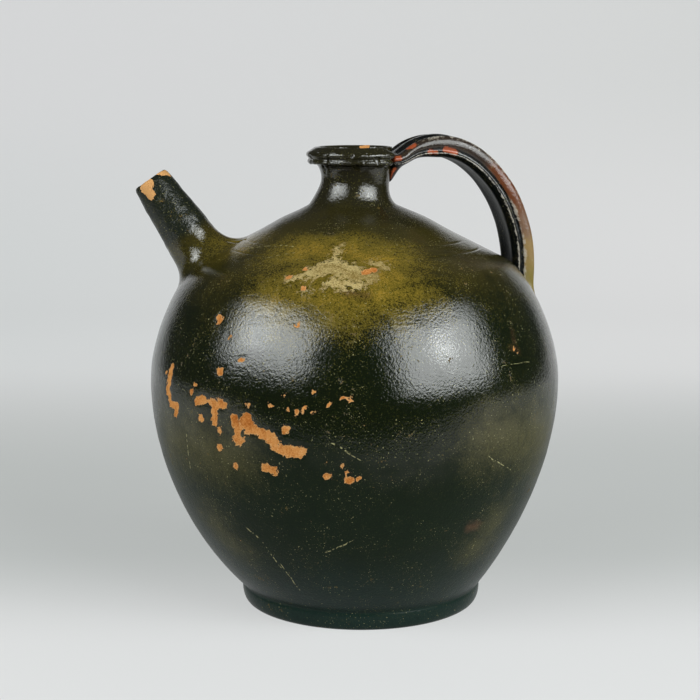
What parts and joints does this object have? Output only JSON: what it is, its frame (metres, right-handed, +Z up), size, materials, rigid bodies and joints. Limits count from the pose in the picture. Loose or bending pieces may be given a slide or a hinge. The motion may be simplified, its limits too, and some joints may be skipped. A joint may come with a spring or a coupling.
{
  "type": "spouted jug",
  "caption": "Globular glazed earthenware jug with a short beaded neck, a slanting conical spout and a strap handle from the rim to the shoulder.",
  "frame": {"origin": "middle of the flat foot, on the surface the jug stands on", "axes": "+Z up; the spout points along -X; the handle lies opposite, turned 17 degrees from +X towards +Y"},
  "size_m": [0.292, 0.2836, 0.3256],
  "materials": {
    "dark_glaze": "glossy green-black lead glaze, chipped to terracotta",
    "neck_glaze": "glossy olive-black glaze, thin over the rim",
    "handle_glaze": "glossy brown to ochre glaze, worn on the ribs"
  },
  "bodies": {
    "root": {"lower_body": "dark_glaze", "upper_body": "dark_glaze", "neck_collar": "neck_glaze", "spout_tube": "dark_glaze", "spout_lute": "dark_glaze", "handle_strap": "handle_glaze", "handle_root_pad": "handle_glaze", "handle_tail_pad": "handle_glaze"}
  },
  "joints": []
}
